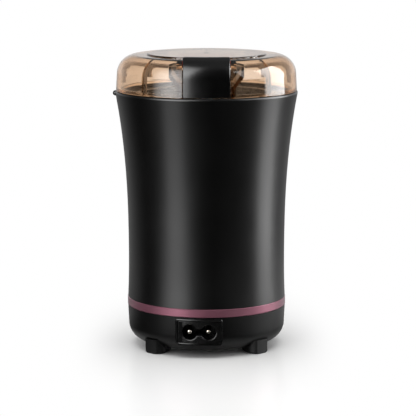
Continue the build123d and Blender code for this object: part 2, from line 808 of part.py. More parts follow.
def make_press_button():
    """The push button: a block whose face turns over into its top, with wings that hold it in the lid."""
    half = button_width / 2
    front = button_form() & block((-half, half), (-CLEAR, button_back_y), (button_foot_z, button_top_z))
    skin = front.faces().filter_by(GeomType.CYLINDER) + front.faces().filter_by(GeomType.TORUS)
    sides = front.faces().filter_by(Axis.X).edges()
    corners = [edge for edge in sides if any(edge in face.edges() for face in skin)]
    front = fillet(corners, button_rounding)

    wings = front_prism(pocket_outline(0, 0), -CLEAR, button_back_y)
    wings &= lid_form(lid_wall + button_gap, button_foot_z)
    wings -= block((-CLEAR, CLEAR), (-CLEAR, CLEAR), (0, wing_foot_z))
    neck = half + lip_width + 2 * button_gap
    behind_lips = lid_form(lid_wall + lip_depth + button_gap, button_foot_z)
    wings -= block((-neck, neck), (-CLEAR, 0), (0, lid_top_z)) - behind_lips
    button = front + wings

    back_y = button_back_y - button_wall
    front_y = -sqrt(button_front_radius ** 2 - half ** 2) + button_wall
    hollow = block(
        (-half + button_wall, half - button_wall),
        (front_y, back_y),
        (button_foot_z, button_top_z - button_cap),
    )
    presser = block((-rod_width / 2, rod_width / 2), (-CLEAR, CLEAR), (button_foot_z, lid_top_z))
    return button - (hollow - presser)


# ---------------------------------------------------------------- switch group
def make_switch_rod():
    """The push rod: head in the button's well, flat stem beside the carrier, foot on the switch."""
    half = rod_width / 2
    back_y = rod_back_y
    head_z = button_foot_z - button_gap
    foot_top_z = carrier_under_z - rod_drop
    head = block((-half, half), (back_y - rod_head_depth, back_y), (head_z - rod_head_height, head_z))
    stem = block((-half, half), (back_y - rod_thickness, back_y), (foot_top_z - rod_foot_thickness, head_z))
    foot = block(
        (rod_foot_offset - rod_foot_width / 2, rod_foot_offset + rod_foot_width / 2),
        (back_y, back_y + rod_foot_depth),
        (foot_top_z - rod_foot_thickness, foot_top_z),
    )
    return head + stem + foot


def switch_room():
    """The microswitch's x, y and height ranges."""
    x_range = (switch_offset_x - switch_width / 2, switch_offset_x + switch_width / 2)
    y_range = (switch_y - switch_depth / 2, switch_y + switch_depth / 2)
    return x_range, y_range, (shelf_z, shelf_z + switch_height)


def make_microswitch():
    """The switch's body on its shelf, with a recess for the plunger."""
    x_range, y_range, z_range = switch_room()
    body = block(x_range, y_range, z_range)
    body = chamfer(body.edges().filter_by(Axis.Z), switch_edge)
    x = switch_offset_x + switch_plunger_offset
    floor_z = z_range[1] - switch_plunger_sink - button_travel - button_gap
    return body - disc(switch_plunger_radius + screw_fit, floor_z, z_range[1], x, switch_y)


def make_switch_plunger():
    """The switch's own small pin, which stands under the rod's foot and moves with it."""
    low_z = shelf_z + switch_height - switch_plunger_sink
    top_z = carrier_under_z - rod_drop - rod_foot_thickness
    return disc(switch_plunger_radius, low_z, top_z, switch_offset_x + switch_plunger_offset, switch_y)


def make_return_spring():
    """The coil spring that lifts rod and button, between the shelf and the rod's foot."""
    low_z = shelf_z + spring_wire + spring_gap
    high_z = carrier_under_z - rod_drop - rod_foot_thickness - spring_wire - spring_gap
    height = high_z - low_z
    coil_r = spring_radius - spring_wire
    path = Helix(pitch=height / spring_turns, height=height, radius=coil_r)
    start = Plane(origin=path @ 0, z_dir=path % 0)
    wire = sweep(start * Circle(spring_wire), path=path, is_frenet=True)
    return Pos(spring_offset_x, switch_y, low_z) * wire


# ---------------------------------------------------------------- motor, standing part
def make_stator_core():
    """The laminated stack: yoke with two flats, two poles with curved shoes."""
    low_z, high_z = stator_bottom_z, stator_top_z
    across = (-stator_flat, stator_flat)
    window = (-stator_flat + yoke_thickness, stator_flat - yoke_thickness)
    wide = (-CLEAR, CLEAR)
    core = disc(stator_radius, low_z, high_z) & block(wide, across, (low_z, high_z))
    core -= disc(yoke_radius, low_z, high_z) & block(wide, window, (low_z, high_z))
    shoes = ring(bore_radius, shoe_radius, low_z, high_z)
    reach_y = shoe_radius * sin(radians(pole_shoe_half_angle))
    shoes &= block(wide, (-reach_y, reach_y), (low_z, high_z))
    for side in (-1, 1):
        ends = sorted((side * bore_radius, side * bolt_circle))
        pole = block(ends, (-pole_half_width, pole_half_width), (low_z, high_z))
        core += pole - disc(bore_radius, low_z, high_z)
    core += shoes
    for side in (-1, 1):
        core -= disc(bolt_radius + screw_fit, low_z, high_z, side * bolt_circle)
    return core


def make_field_coil(side):
    """One field coil, bent to the yoke and wound round its pole."""
    inner_y = pole_half_width
    outer_y = inner_y + coil_width
    low_z = stator_bottom_z
    high_z = stator_top_z
    x_range = sorted((side * bore_radius / 2, side * CLEAR))
    loop = block(x_range, (-outer_y, outer_y), (low_z - coil_overhang, high_z + coil_overhang))
    loop &= ring(shoe_radius + coil_gap, yoke_radius - coil_gap, 0, rim_z)
    return loop - block(x_range, (-inner_y, inner_y), (low_z, high_z))


def bracket(bar_z, leg_low_z, leg_high_z):
    """A bar across the motor with a bearing hub and two legs on the stator."""
    half = bracket_width / 2
    reach = bolt_circle + bracket_leg_thickness / 2
    bar = block((-reach, reach), (-half, half), (bar_z, bar_z + bracket_thickness))
    bar += disc(bracket_hub_radius, bar_z, bar_z + bracket_thickness)
    for side in (-1, 1):
        legs_x = sorted((side * (reach - bracket_leg_thickness), side * reach))
        bar += block(legs_x, (-half, half), (leg_low_z, leg_high_z))
    return bar - disc(bearing_radius + shaft_fit, 0, rim_z)


def make_upper_bracket():
    """The bracket that hangs the motor under the bowl's carrier."""
    solid = bracket(upper_bar_z, stator_top_z, upper_bar_z)
    hole_z = stator_top_z + bolt_reach + bolt_end_gap
    for side in (-1, 1):
        solid -= disc(bolt_radius + screw_fit, stator_top_z, hole_z, side * bolt_circle)
        solid -= disc(screw_radius + screw_fit, upper_bar_z, upper_bar_top_z, side * motor_screw_offset)
    return solid


def make_lower_bracket():
    """The bracket under the stator, with a cross arm for the brush holders."""
    bar_top_z = lower_bar_z + bracket_thickness
    solid = bracket(lower_bar_z, bar_top_z, stator_bottom_z)
    for side in (-1, 1):
        solid -= disc(bolt_radius + screw_fit, lower_bar_z, stator_bottom_z, side * bolt_circle)
    half = bracket_width / 2
    reach = commutator_radius + brush_gap + brush_length + brush_tube_wall
    arm = block((-half, half), (-reach, reach), (lower_bar_z, bar_top_z))
    return solid + (arm - disc(bracket_hub_radius, 0, rim_z))


def make_bearing(low_z):
    """A plain sintered bush in a bracket's hub."""
    return ring(shaft_radius + bearing_clearance, bearing_radius, low_z, low_z + bracket_thickness)


def brush_level():
    """The height of the brushes' middle, over the lower bracket's arm."""
    return lower_bar_z + bracket_thickness + brush_tube_wall + brush_size / 2


def make_brush_holder(side):
    """A square brass tube that guides one carbon brush."""
    z = brush_level()
    outer = brush_size / 2 + brush_tube_wall
    inner = brush_size / 2 + shaft_fit
    near = commutator_radius + brush_gap + brush_tube_wall
    y_range = sorted((side * near, side * (near + brush_tube_length)))
    tube = block((-outer, outer), y_range, (z - outer, z + outer))
    return tube - block((-inner, inner), y_range, (z - inner, z + inner))


def make_carbon_brush(side):
    """A carbon brush, hollowed to the commutator's curve."""
    z = brush_level()
    half = brush_size / 2
    near = commutator_radius - brush_size / 4
    y_range = sorted((side * near, side * (near + brush_length)))
    brush = block((-half, half), y_range, (z - half, z + half))
    return brush - disc(commutator_radius + brush_gap, 0, rim_z)


def make_stator_bolts():
    """Two long bolts from the lower bracket through the stack into the upper bracket."""
    tip_z = stator_top_z + bolt_reach
    bolts = []
    for side in (-1, 1):
        x = side * bolt_circle
        head = disc(bolt_head_radius, lower_bar_z - bolt_head_height, lower_bar_z, x)
        bolts.append(head + disc(bolt_radius, lower_bar_z, tip_z, x))
    return bolts


def make_motor_grommets():
    """Rubber rings between the upper bracket and the carrier."""
    bore = screw_radius + screw_fit
    rings = []
    for side in (-1, 1):
        x = side * motor_screw_offset
        body = disc(grommet_radius, upper_bar_top_z, carrier_under_z, x)
        rings.append(body - disc(bore, upper_bar_top_z, carrier_under_z, x))
    return rings


def make_motor_screws():
    """Two screws from under the upper bracket into the carrier's floor."""
    screws = []
    for side in (-1, 1):
        x = side * motor_screw_offset
        head = disc(screw_head_radius, upper_bar_z - screw_head_height, upper_bar_z, x)
        screws.append(head + disc(screw_radius, upper_bar_z, carrier_floor_z - screw_fit, x))
    return screws


# ---------------------------------------------------------------- motor, turning part
def make_rotor_shaft():
    """The steel shaft from the lower bearing up to the blade's nut."""
    return disc(shaft_radius, lower_bar_z - shaft_tail, blade_z + blade_thickness + nut_height)


def make_armature_core():
    """The slotted stack on the shaft."""
    low_z, high_z = stator_bottom_z, stator_top_z
    core = ring(shaft_radius + shaft_fit, armature_radius, low_z, high_z)
    slot = block((slot_bottom_radius, slot_top_radius), (-slot_width / 2, slot_width / 2), (low_z, high_z))
    slot += block((slot_bottom_radius, bore_radius), (-slot_mouth / 2, slot_mouth / 2), (low_z, high_z))
    for cut in spokes(slot, slot_count):
        core -= cut
    return core


def make_armature_winding():
    """Copper in the slots, with a ring of end turns at each end."""
    low_z, high_z = stator_bottom_z, stator_top_z
    inner_r = slot_bottom_radius + winding_gap
    outer_r = slot_top_radius - winding_gap
    half = slot_width / 2 - winding_gap
    core_r = shaft_radius + winding_core
    middle = winding_overhang / 2
    winding = ring(core_r, outer_r, low_z - winding_overhang, low_z - winding_gap)
    winding += ring(core_r, outer_r, high_z + winding_gap, high_z + winding_overhang)
    bar = block((inner_r, outer_r - winding_gap), (-half, half), (low_z - middle, high_z + middle))
    for copy in spokes(bar, slot_count):
        winding += copy
    return winding


def make_commutator():
    """Copper bars on the shaft, parted by narrow cuts."""
    high_z = stator_bottom_z - winding_overhang - winding_gap
    low_z = high_z - commutator_length
    drum = ring(shaft_radius + shaft_fit, commutator_radius, low_z, high_z)
    cut = block(
        (commutator_radius - 2 * commutator_cut, CLEAR),
        (-commutator_cut / 2, commutator_cut / 2),
        (low_z, high_z),
    )
    for copy in spokes(cut, slot_count):
        drum -= copy
    return drum


def make_cooling_fan():
    """A moulded disc with upright blades."""
    fan = disc(fan_radius, fan_z, fan_z + fan_plate) + disc(fan_hub_radius, fan_z, fan_z + fan_height)
    blade = block(
        (fan_blade_start, fan_blade_end),
        (-fan_blade_thickness / 2, fan_blade_thickness / 2),
        (fan_z, fan_z + fan_height),
    )
    for copy in spokes(blade, fan_blade_count):
        fan += copy
    return fan - disc(shaft_radius + shaft_fit, 0, rim_z)


def make_blade_spacer():
    """The collar between shaft seal and blade."""
    return ring(shaft_radius + shaft_fit, spacer_radius, seal_top_z + shaft_gap, blade_z)


def blade_section(radius, width, lift, pitch):
    """The blade's cross-section at a radius, lifted and tilted."""
    middle = blade_z + blade_thickness / 2 + lift
    plane = Plane(origin=(radius, 0, middle), x_dir=(0, 1, 0), z_dir=(1, 0, 0))
    return plane * Rot(0, 0, pitch) * Rectangle(width, blade_thickness)


def make_blade():
    """The two-armed blade: flat at the hub, rising and twisting to its tips."""
    half = blade_root_width / 2
    root = block((-blade_bend_radius, blade_bend_radius), (-half, half), (blade_z, blade_z + blade_thickness))
    arm = loft(
        [
            blade_section(blade_bend_radius, blade_root_width, 0, 0),
            blade_section(blade_tip_radius, blade_tip_width, blade_tip_lift, blade_tip_pitch),
        ],
        ruled=True,
    )
    blade = root + arm + Rot(0, 0, 180) * arm
    return blade - disc(shaft_radius + shaft_fit, 0, rim_z)


def make_blade_nut():
    """A domed nut on the shaft's end."""
    low_z = blade_z + blade_thickness
    top_z = low_z + nut_height
    body = extrude(Pos(0, 0, low_z) * RegularPolygon(nut_radius, 6), nut_height)
    ball_r = (nut_dome_radius ** 2 + nut_dome ** 2) / (2 * nut_dome)
    dome = Pos(0, 0, top_z + nut_dome - ball_r) * Sphere(ball_r)
    body += dome & disc(nut_dome_radius, top_z, top_z + nut_dome)
    return body - disc(shaft_radius + shaft_fit, 0, top_z)


# ---------------------------------------------------------------- build and export
def all_parts():
    """Every node's name with its solid or solids."""
    parts = {
        "upper_housing": make_upper_housing(),
        "accent_ring": make_accent_ring(),
        "base_housing": make_base_housing(),
        "case_screws": make_case_screws(),
        "inlet_socket": make_inlet_socket(),
        "inlet_pin_left": make_inlet_pin(-1),
        "inlet_pin_right": make_inlet_pin(1),
        "bowl_carrier": make_bowl_carrier(),
        "grinding_bowl": make_grinding_bowl(),
        "bowl_gasket": make_bowl_gasket(),
        "shaft_seal": make_shaft_seal(),
        "lid_shell": make_lid_shell(),
        "press_button": make_press_button(),
        "switch_rod": make_switch_rod(),
        "microswitch": make_microswitch(),
        "switch_plunger": make_switch_plunger(),
        "return_spring": make_return_spring(),
        "stator_core": make_stator_core(),
        "field_coil_left": make_field_coil(-1),
        "field_coil_right": make_field_coil(1),
        "upper_bracket": make_upper_bracket(),
        "lower_bracket": make_lower_bracket(),
        "upper_bearing": make_bearing(upper_bar_z),
        "lower_bearing": make_bearing(lower_bar_z),
        "brush_holder_front": make_brush_holder(-1),
        "brush_holder_rear": make_brush_holder(1),
        "carbon_brush_front": make_carbon_brush(-1),
        "carbon_brush_rear": make_carbon_brush(1),
        "stator_bolts": make_stator_bolts(),
        "motor_grommets": make_motor_grommets(),
        "motor_screws": make_motor_screws(),
        "rotor_shaft": make_rotor_shaft(),
        "armature_core": make_armature_core(),
        "armature_winding": make_armature_winding(),
        "commutator": make_commutator(),
        "cooling_fan": make_cooling_fan(),
        "blade_spacer": make_blade_spacer(),
        "blade": make_blade(),
        "blade_nut": make_blade_nut(),
    }
    for name, (sign_x, sign_y) in foot_places().items():
        parts[name] = make_foot(sign_x, sign_y)
    return parts


os.makedirs("parts", exist_ok=True)
for name, shape in all_parts().items():
    solids = shape if isinstance(shape, list) else [shape]
    group = Compound(children=[solid for piece in solids for solid in piece.solids()])
    export_step(group, f"parts/{name}.step")
    print(name, len(group.solids()), "solid(s),", round(group.volume), "mm3")
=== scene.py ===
# %% [markdown]
# # Electric spice grinder, dressed for its portrait
# The grinder is a waisted black moulding with a rose-coloured metal band, a
# see-through amber lid and one black push button. Its solids come from the
# frame, already in place and in metres, so this lesson only gives them their
# finishes, a few fine details, light, a floor and a camera.

# %% Load the frame
import bpy
import math
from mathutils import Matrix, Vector


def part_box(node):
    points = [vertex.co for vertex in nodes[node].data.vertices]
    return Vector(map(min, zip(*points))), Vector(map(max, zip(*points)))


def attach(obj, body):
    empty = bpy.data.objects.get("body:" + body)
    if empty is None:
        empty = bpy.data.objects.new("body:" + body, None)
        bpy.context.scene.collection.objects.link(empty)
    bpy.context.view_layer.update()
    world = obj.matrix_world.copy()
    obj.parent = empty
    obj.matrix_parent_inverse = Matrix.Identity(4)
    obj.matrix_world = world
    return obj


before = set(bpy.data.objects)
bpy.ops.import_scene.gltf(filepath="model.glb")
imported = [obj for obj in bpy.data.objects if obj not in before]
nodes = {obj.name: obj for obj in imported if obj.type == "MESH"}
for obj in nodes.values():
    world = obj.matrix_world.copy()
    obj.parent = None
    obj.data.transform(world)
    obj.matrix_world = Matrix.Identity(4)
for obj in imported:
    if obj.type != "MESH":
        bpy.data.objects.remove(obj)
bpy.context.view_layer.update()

# %% [markdown]
# ## Words for colour and size
# A colour is easiest to pick as a web hex value, but a shader wants linear
# light, so one function turns the first into the second. Pattern sizes are
# thought of in millimetres. A noise at scale 1 has features about one unit
# wide, and object coordinates here are metres, so a pattern of so many
# millimetres has a scale of 1000 divided by them.

# %% Colour and pattern size
MM = 0.001


def linear(hex_colour):
    """An sRGB hex colour such as '#1a2b3c' as linear red, green, blue and alpha.

    Its numbers are those of the sRGB standard: a short straight run, then a power curve.
    """
    parts = [int(hex_colour[i:i + 2], 16) / 255 for i in (1, 3, 5)]
    return [p / 12.92 if p <= 0.04045 else ((p + 0.055) / 1.055) ** 2.4 for p in parts] + [1.0]


def pattern(size_mm):
    """The scale of a noise whose features are about so many millimetres wide."""
    return 1000.0 / size_mm


print("mid grey in linear light:", round(linear("#808080")[0], 3))

# %% [markdown]
# ## One helper for every node
# A material is a small tree of nodes. Each node needs a kind, some settings,
# some numbers on its sockets and some links into them. One function does all
# four, so a material can be read as a short list. The settings come first,
# because they decide which sockets a node shows.

# %% Add a node


def add(tree, kind, values=None, links=None, **settings):
    """Adds a node, with its settings, the values of its sockets and the links into them."""
    made = tree.nodes.new(kind)
    for name, setting in settings.items():
        setattr(made, name, setting)
    for socket, value in (values or {}).items():
        made.inputs[socket].default_value = value
    for socket, source in (links or {}).items():
        tree.links.new(source, made.inputs[socket])
    return made


def new_material(name):
    """An empty node material, its tree and its output node."""
    material = bpy.data.materials.new(name)
    material.use_nodes = True
    material.node_tree.nodes.clear()
    return material, material.node_tree, add(material.node_tree, "ShaderNodeOutputMaterial")


def put_on(material, *names):
    """Gives the material to these pieces of the frame, on the object's own slots."""
    for name in names:
        piece = nodes[name]
        for slot in piece.material_slots:
            slot.link = "OBJECT"
            slot.material = material
    print(material.name, "on", ", ".join(names))


print("node helpers ready")

# %% [markdown]
# ## Noise that hides in the surface
# No moulded or turned surface is perfectly even. Two noises do most of the
# work: a broad one that drifts over millimetres or centimetres, for uneven
# polish and handling marks, and a fine one at the size of the grain. These
# helpers make the broad one and spread it between two numbers, ready for a
# roughness socket, or between two colours.

# %% Noise between two numbers
DRIFT_DETAIL = 3.0
NOISE_LOW, NOISE_HIGH = 0.3, 0.7    # nearly all values of a noise lie between these


def spread(tree, size_mm, low, high, place):
    """A noise with features of size_mm, mapped so that it runs from low to high."""
    noise = add(
        tree,
        "ShaderNodeTexNoise",
        {"Scale": pattern(size_mm), "Detail": DRIFT_DETAIL},
        {"Vector": place},
    )
    ranged = add(
        tree,
        "ShaderNodeMapRange",
        {"From Min": NOISE_LOW, "From Max": NOISE_HIGH, "To Min": low, "To Max": high},
        {"Value": noise.outputs["Fac"]},
    )
    return ranged.outputs["Result"]


def tint(tree, size_mm, first, second, place):
    """Two colours mixed by a noise, for the slight unevenness of a dyed or cast material."""
    mix = add(
        tree,
        "ShaderNodeMix",
        {"A": linear(first), "B": linear(second)},
        {"Factor": spread(tree, size_mm, 0.0, 1.0, place)},
        data_type="RGBA",
    )
    return mix.outputs["Result"]


print("noise helpers ready")

# %% [markdown]
# ## The camera
# The camera stands about a metre away and looks slightly down, as for a
# catalogue portrait. A long lens from that distance keeps the upright sides
# nearly parallel. The frame is square, so the sensor's width is also its
# height, and the focal length follows from how large the grinder appears.

# %% Camera
FRAME_PIXELS = 416
FOCAL_PIXELS = 2152.0
SENSOR_MM = 36.0
CAMERA_PLACE = (0.0007, -0.993, 0.2192)
LOOK_DOWN = math.radians(8.9)
NEAREST, FARTHEST = 0.01, 100.0

camera_data = bpy.data.cameras.new("portrait_camera")
camera_data.sensor_width = SENSOR_MM
camera_data.lens = FOCAL_PIXELS / FRAME_PIXELS * SENSOR_MM
camera_data.clip_start = NEAREST
camera_data.clip_end = FARTHEST
camera = bpy.data.objects.new("portrait_camera", camera_data)
camera.location = CAMERA_PLACE
camera.rotation_euler = (math.pi / 2 - LOOK_DOWN, 0.0, 0.0)
bpy.context.scene.collection.objects.link(camera)
bpy.context.scene.camera = camera
bpy.context.scene.view_settings.view_transform = "Standard"
print("lens", round(camera_data.lens, 1), "mm")

# %% [markdown]
# ## Softboxes with soft edges
# A glossy black cylinder is drawn by what it mirrors. Two tall softboxes, one
# ahead on the left and one at the right side, lay two upright streaks on the
# casing and leave its middle dark. A weaker one stands in front of the right
# one, for faces that look a little upwards. The casing's flared upper part
# leans over and mirrors what is low, so each tall box stands on a dimmer
# skirt. A real softbox is brightest near its tube and fades towards one side,
# so each lamp gets a profile: Parametric tells a lamp's node tree how far
# across itself and how far up it is. The function thinks in degrees round
# the grinder and in brightness, because that is what a mirror shows.

# %% Brightness across a lamp
EVEN_GLOW = ((0.0, 1.0), (1.0, 1.0))


def profile(tree, value, stops):
    """A curve of straight runs through stops, each a place from 0 to 1 and its brightness."""
    curve = add(tree, "ShaderNodeValToRGB", links={"Fac": value})
    marks = curve.color_ramp.elements
    for mark, (spot, shade) in zip(marks, (stops[0], stops[-1])):
        mark.position, mark.color = spot, (shade, shade, shade, 1.0)
    for spot, shade in stops[1:-1]:
        marks.new(spot).color = (shade, shade, shade, 1.0)
    return curve.outputs["Color"]


print("an even lamp's profile:", EVEN_GLOW)

# %% Softbox
LAMP_DISTANCE = 1.25
LAMP_AIM = Vector((0.0, 0.0, 0.1))
WATTS_PER_SQUARE_METRE = 4    # at these an area lamp has a brightness of 1


def softbox(
    name, left, right, low, high, brightness, across=EVEN_GLOW, up=EVEN_GLOW, for_shine=True
):
    """An area lamp that covers these degrees as seen from the grinder.

    Azimuth 0 is the camera's side and 90 the right.
    """
    turn, lift = math.radians((left + right) / 2), math.radians((low + high) / 2)
    lamp = bpy.data.lights.new(name, "AREA")
    lamp.shape = "RECTANGLE"
    lamp.size = 2 * LAMP_DISTANCE * math.tan(math.radians(right - left) / 2)
    lamp.size_y = 2 * LAMP_DISTANCE * math.tan(math.radians(high - low) / 2)
    lamp.energy = brightness * WATTS_PER_SQUARE_METRE * lamp.size * lamp.size_y
    lamp.use_nodes = True
    tree = lamp.node_tree
    tree.nodes.clear()
    spot = add(tree, "ShaderNodeNewGeometry").outputs["Parametric"]
    over = add(tree, "ShaderNodeSeparateXYZ", links={"Vector": spot})
    sideways = profile(tree, over.outputs["X"], across)
    upwards = profile(tree, over.outputs["Y"], up)
    shade = add(tree, "ShaderNodeMath", links={0: sideways, 1: upwards}, operation="MULTIPLY")
    glow = add(
        tree,
        "ShaderNodeEmission",
        {"Color": linear("#ffffff")},
        {"Strength": shade.outputs[0]},
    )
    add(tree, "ShaderNodeOutputLight", links={"Surface": glow.outputs["Emission"]})
    stand = bpy.data.objects.new(name, lamp)
    outward = Vector(
        (math.sin(turn) * math.cos(lift), -math.cos(turn) * math.cos(lift), math.sin(lift))
    )
    stand.location = outward * LAMP_DISTANCE + LAMP_AIM
    stand.rotation_euler = (-outward).to_track_quat("-Z", "Y").to_euler()
    stand.visible_camera = False
    stand.visible_transmission = False
    stand.visible_glossy = for_shine
    stand.visible_diffuse = not for_shine
    bpy.context.scene.collection.objects.link(stand)
    print(name, round(lamp.size, 2), "x", round(lamp.size_y, 2), "m,", round(lamp.energy, 1), "W")


# %% [markdown]
# ## Shine and fill
# The streaks must be bright, yet the light that falls on the set should be
# plain. So shine and fill are lamps of their own: a lamp can be hidden from
# glossy rays or from diffuse rays. Each row gives the left and right edge and
# the lower and upper edge in degrees, then the brightness.

# %% The set's lamps
FADE_LEFT = (
    (0.0, 0.0), (0.05, 0.1), (0.2, 0.5), (0.38, 0.85),
    (0.5, 1.0), (0.6, 0.98), (0.7, 0.85), (1.0, 0.75),
)
FADE_RIGHT = ((0.0, 0.0), (0.12, 0.75), (0.3, 0.95), (0.7, 1.0), (1.0, 0.85))
FADE_TOP = ((0.0, 1.0), (0.5, 1.0), (0.8, 0.6), (0.95, 0.3), (1.0, 0.0))

softbox("shine_left", -74.0, -21.0, -8.0, 60.0, 5.2, FADE_LEFT, FADE_TOP)
softbox("shine_left_skirt", -57.0, -33.0, -34.0, -8.0, 1.1)
softbox("shine_right", 76.0, 117.0, -8.0, 42.0, 6.6, FADE_RIGHT)
softbox("shine_front_right", 48.0, 76.0, 4.0, 50.0, 2.0)
softbox("shine_right_skirt", 80.0, 107.0, -24.0, -8.0, 2.3)
softbox("fill_overhead", -30.0, 30.0, 60.0, 120.0, 2.8, for_shine=False)
softbox("fill_left", -110.0, -30.0, -8.0, 60.0, 1.1, for_shine=False)
softbox("fill_right", 40.0, 120.0, -8.0, 50.0, 1.1, for_shine=False)

# %% [markdown]
# ## The room, as a mirror sees it
# For reflections the room is white only behind the grinder, because a black
# casing reads best when the side it faces is kept dark. The white is
# brightest near the horizon, and the ceiling glows faintly. For all light
# that isn't mirrored the room is an even, plain brightness from every side.
# Directions have a length of 1, so Y is how far a look goes backwards and Z
# how far it goes up.

# %% World, mirrored
ROOM_LIGHT = 0.2
DARK_SIDE = 0.004
CEILING = 0.18
CEILING_FROM, CEILING_TO = 0.6, 0.9
BACK_FROM, BACK_TO = 0.15, 0.85
BACK_BY_HEIGHT = ((0.28, 0.08), (0.44, 0.3), (0.5, 0.8), (0.57, 0.7), (0.64, 0.35), (0.85, 0.1))

world = bpy.data.worlds.new("studio_room")
world.use_nodes = True
world.cycles.sampling_method = "NONE"
bpy.context.scene.world = world
room = world.node_tree
room.nodes.clear()
path = add(room, "ShaderNodeLightPath")
toward = add(room, "ShaderNodeTexCoord").outputs["Generated"]
compass = add(room, "ShaderNodeSeparateXYZ", links={"Vector": toward})
back = add(
    room,
    "ShaderNodeMapRange",
    {"From Min": BACK_FROM, "From Max": BACK_TO, "To Min": 0.0, "To Max": 1.0},
    {"Value": compass.outputs["Y"]},
    interpolation_type="SMOOTHSTEP",
)
# Half of Z plus a half runs from 0 straight down to 1 straight up, as a profile needs.
height = add(
    room,
    "ShaderNodeMath",
    {0: 0.5, 2: 0.5},
    {1: compass.outputs["Z"]},
    operation="MULTIPLY_ADD",
)
by_height = profile(room, height.outputs[0], BACK_BY_HEIGHT)
behind = add(
    room,
    "ShaderNodeMath",
    links={0: back.outputs["Result"], 1: by_height},
    operation="MULTIPLY",
)
ceiling = add(
    room,
    "ShaderNodeMapRange",
    {"From Min": CEILING_FROM, "From Max": CEILING_TO, "To Min": DARK_SIDE, "To Max": CEILING},
    {"Value": compass.outputs["Z"]},
    interpolation_type="SMOOTHSTEP",
)
mirrored = add(
    room,
    "ShaderNodeMath",
    links={0: behind.outputs[0], 1: ceiling.outputs["Result"]},
    operation="ADD",
)
ambient = add(
    room,
    "ShaderNodeMix",
    {"A": ROOM_LIGHT},
    {"Factor": path.outputs["Is Glossy Ray"], "B": mirrored.outputs[0]},
)
print("room light", ROOM_LIGHT)

# %% [markdown]
# ## The room, looked at straight and through the lid
# The room is white where the camera looks straight at it or through the clear
# lid. A look straight through the lid crosses four faces of plastic. Light
# that has crossed more has been through a rib or an edge, where real
# mouldings scatter and lose it, so Ray Depth dims it.

# %% World, seen
CLEAR_DEPTH, LOST_DEPTH = 5.0, 7.0
LEFT_WHEN_LOST = 0.25

kept = add(
    room,
    "ShaderNodeMapRange",
    {"From Min": CLEAR_DEPTH, "From Max": LOST_DEPTH, "To Min": 1.0, "To Max": LEFT_WHEN_LOST},
    {"Value": path.outputs["Ray Depth"]},
)
behind_glass = add(
    room,
    "ShaderNodeMix",
    links={
        "Factor": path.outputs["Is Transmission Ray"],
        "A": ambient.outputs["Result"],
        "B": kept.outputs["Result"],
    },
)
level = add(
    room,
    "ShaderNodeMix",
    {"B": 1.0},
    {"Factor": path.outputs["Is Camera Ray"], "A": behind_glass.outputs["Result"]},
)
background = add(
    room,
    "ShaderNodeBackground",
    {"Color": linear("#ffffff")},
    {"Strength": level.outputs["Result"]},
)
add(room, "ShaderNodeOutputWorld", links={"Surface": background.outputs["Background"]})
print("through ribs and edges", LEFT_WHEN_LOST, "of the room is left")

# %% [markdown]
# ## The table top
# The grinder stands on a small sheet of white cast acrylic, satined so that
# it keeps the soft contact shadow and mirrors the base only a little. It is a
# plain disc that belongs to the stage and not to the grinder. Its acrylic is
# made here, and the next two steps say who sees it and how.

# %% Sheet of acrylic
FLOOR_RADIUS = 0.22
FLOOR_CORNERS = 128

bpy.ops.mesh.primitive_circle_add(
    vertices=FLOOR_CORNERS, radius=FLOOR_RADIUS, fill_type="TRIFAN", location=(0, 0, 0)
)
floor = bpy.context.object
floor.name = "table_top"
acrylic, tree, output = new_material("white_acrylic_sheet")
place = add(tree, "ShaderNodeTexCoord").outputs["Object"]
sheet = add(tree, "ShaderNodeBsdfPrincipled", {"IOR": 1.49})
tree.links.new(tint(tree, 60, "#dfdfdf", "#e0e0df", place), sheet.inputs["Base Color"])
tree.links.new(spread(tree, 40, 0.275, 0.285, place), sheet.inputs["Roughness"])
print("table top of radius", FLOOR_RADIUS, "m")

# %% [markdown]
# ## Where the sheet melts into the room
# Towards its edge the sheet turns into plain white light, so that no horizon
# shows. The distance from its middle, mapped to a share, mixes the two. At
# the sides it melts sooner than in front, so a second distance is measured in
# a space that is stretched sideways and squeezed from front to back, and the
# larger share wins. Only looks from the camera, straight or through the lid,
# see it melt: for all other rays it stays a sheet.

# %% Melting edge
FLOOR_NEAR = 0.13
FLOOR_FAR = FLOOR_RADIUS * 0.98    # a little before the sheet ends
SIDE_NEAR = 0.06
SIDE_FAR = 0.15
SIDE_STRETCH = (2.2, 0.55, 1.0)

white = add(tree, "ShaderNodeEmission", {"Color": linear("#ffffff"), "Strength": 1.0})
distance = add(tree, "ShaderNodeVectorMath", links={0: place}, operation="LENGTH")
far = add(
    tree,
    "ShaderNodeMapRange",
    {"From Min": FLOOR_NEAR, "From Max": FLOOR_FAR},
    {"Value": distance.outputs["Value"]},
    interpolation_type="SMOOTHERSTEP",
)
stretched = add(
    tree, "ShaderNodeVectorMath", {1: SIDE_STRETCH}, {0: place}, operation="MULTIPLY"
)
sideways = add(
    tree, "ShaderNodeVectorMath", links={0: stretched.outputs["Vector"]}, operation="LENGTH"
)
beside = add(
    tree,
    "ShaderNodeMapRange",
    {"From Min": SIDE_NEAR, "From Max": SIDE_FAR},
    {"Value": sideways.outputs["Value"]},
    interpolation_type="SMOOTHERSTEP",
)
melted = add(
    tree,
    "ShaderNodeMath",
    links={0: far.outputs["Result"], 1: beside.outputs["Result"]},
    operation="MAXIMUM",
)
path = add(tree, "ShaderNodeLightPath")
seen = add(
    tree,
    "ShaderNodeMath",
    links={0: path.outputs["Is Camera Ray"], 1: path.outputs["Is Transmission Ray"]},
    operation="MAXIMUM",
)
melt_share = add(
    tree, "ShaderNodeMath", links={0: melted.outputs[0], 1: seen.outputs[0]}, operation="MULTIPLY"
)
melt = add(
    tree,
    "ShaderNodeMixShader",
    links={"Fac": melt_share.outputs[0], 1: sheet.outputs["BSDF"], 2: white.outputs["Emission"]},
)
